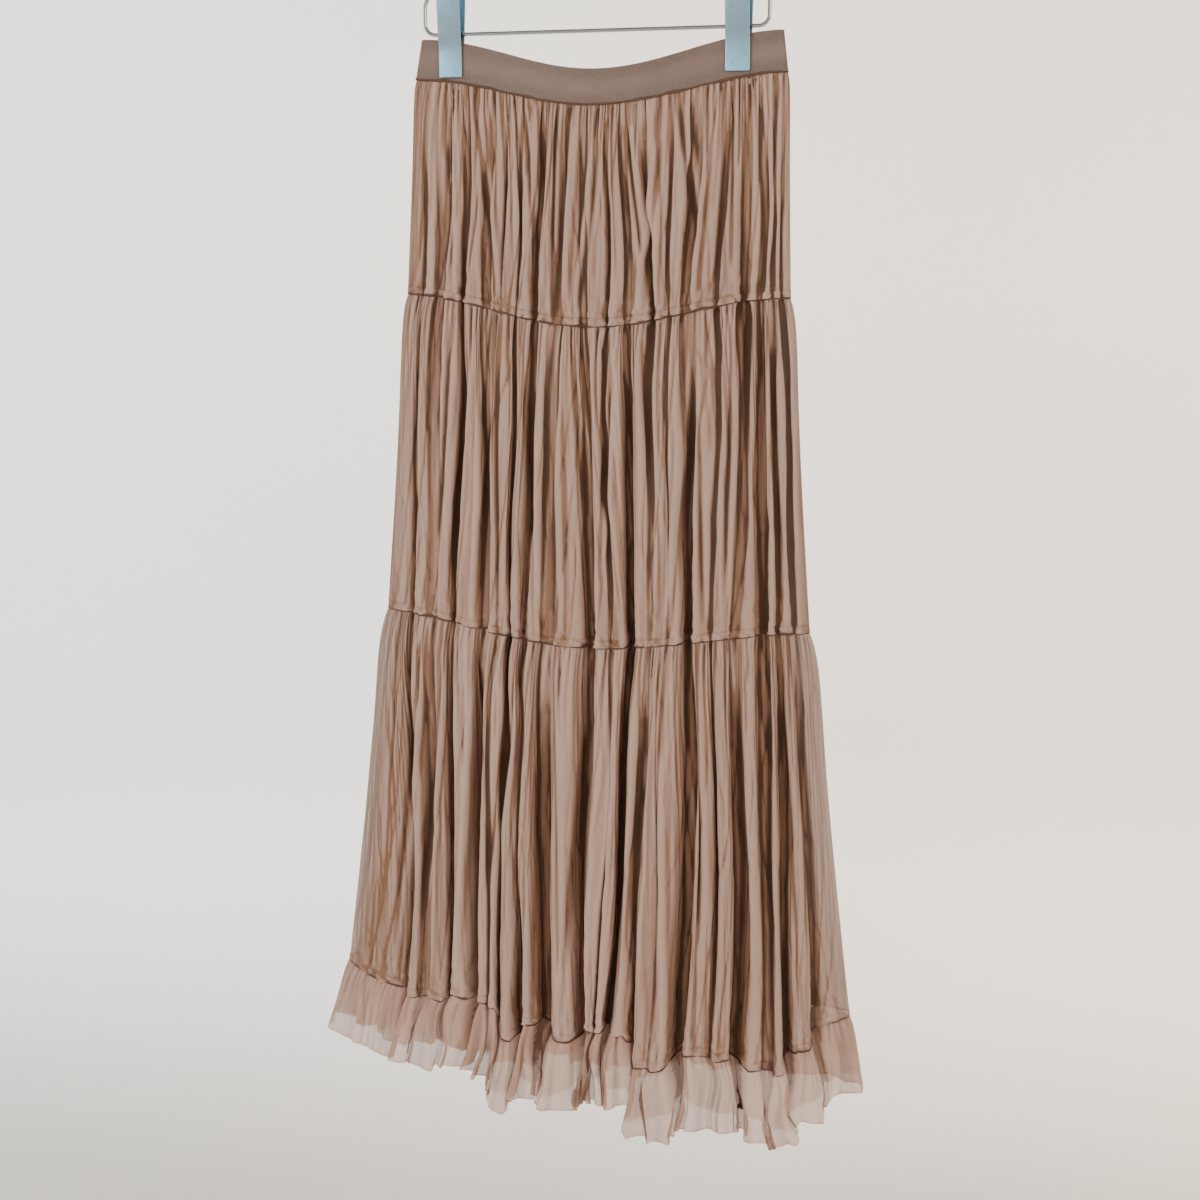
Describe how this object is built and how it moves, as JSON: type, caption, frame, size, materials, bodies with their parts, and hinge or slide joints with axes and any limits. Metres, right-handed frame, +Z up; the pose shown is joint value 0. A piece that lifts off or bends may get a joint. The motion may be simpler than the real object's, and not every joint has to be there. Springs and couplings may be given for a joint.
{
  "type": "maxi skirt on clip hanger",
  "caption": "Long tiered skirt of gathered sheer tulle with a knit waistband and a hem ruffle, hung by its waistband from a wire clip hanger",
  "frame": {"origin": "the bearing point inside the top of the hanger's hook, where a rail carries it", "axes": "+X along the hanger's bar to the right of someone who faces the skirt's front, +Y from the front to the back, +Z up"},
  "size_m": [0.522, 0.1268, 1.1285],
  "materials": {
    "tulle": "soft matt sheer net over a second layer, brown in the folds",
    "ruffle": "single sheer layer of the same net, pale at the edge",
    "band": "smooth fine knit with a soft sheen",
    "wire": "polished wire",
    "plate": "brushed sheet, pale and cool"
  },
  "bodies": {
    "root": {"waistband_front": "band", "waistband_back": "band", "tier_1_front": "tulle", "tier_1_back": "tulle", "tier_2_front": "tulle", "tier_2_back": "tulle", "tier_3_front": "tulle", "tier_3_back": "tulle", "ruffle_front": "ruffle", "ruffle_back": "ruffle", "hanger_frame": "wire", "hanger_hook": "wire", "clip_left_front": "plate", "clip_left_back": "plate", "clip_left_barrel": "wire", "clip_right_front": "plate", "clip_right_back": "plate", "clip_right_barrel": "wire"}
  },
  "joints": []
}
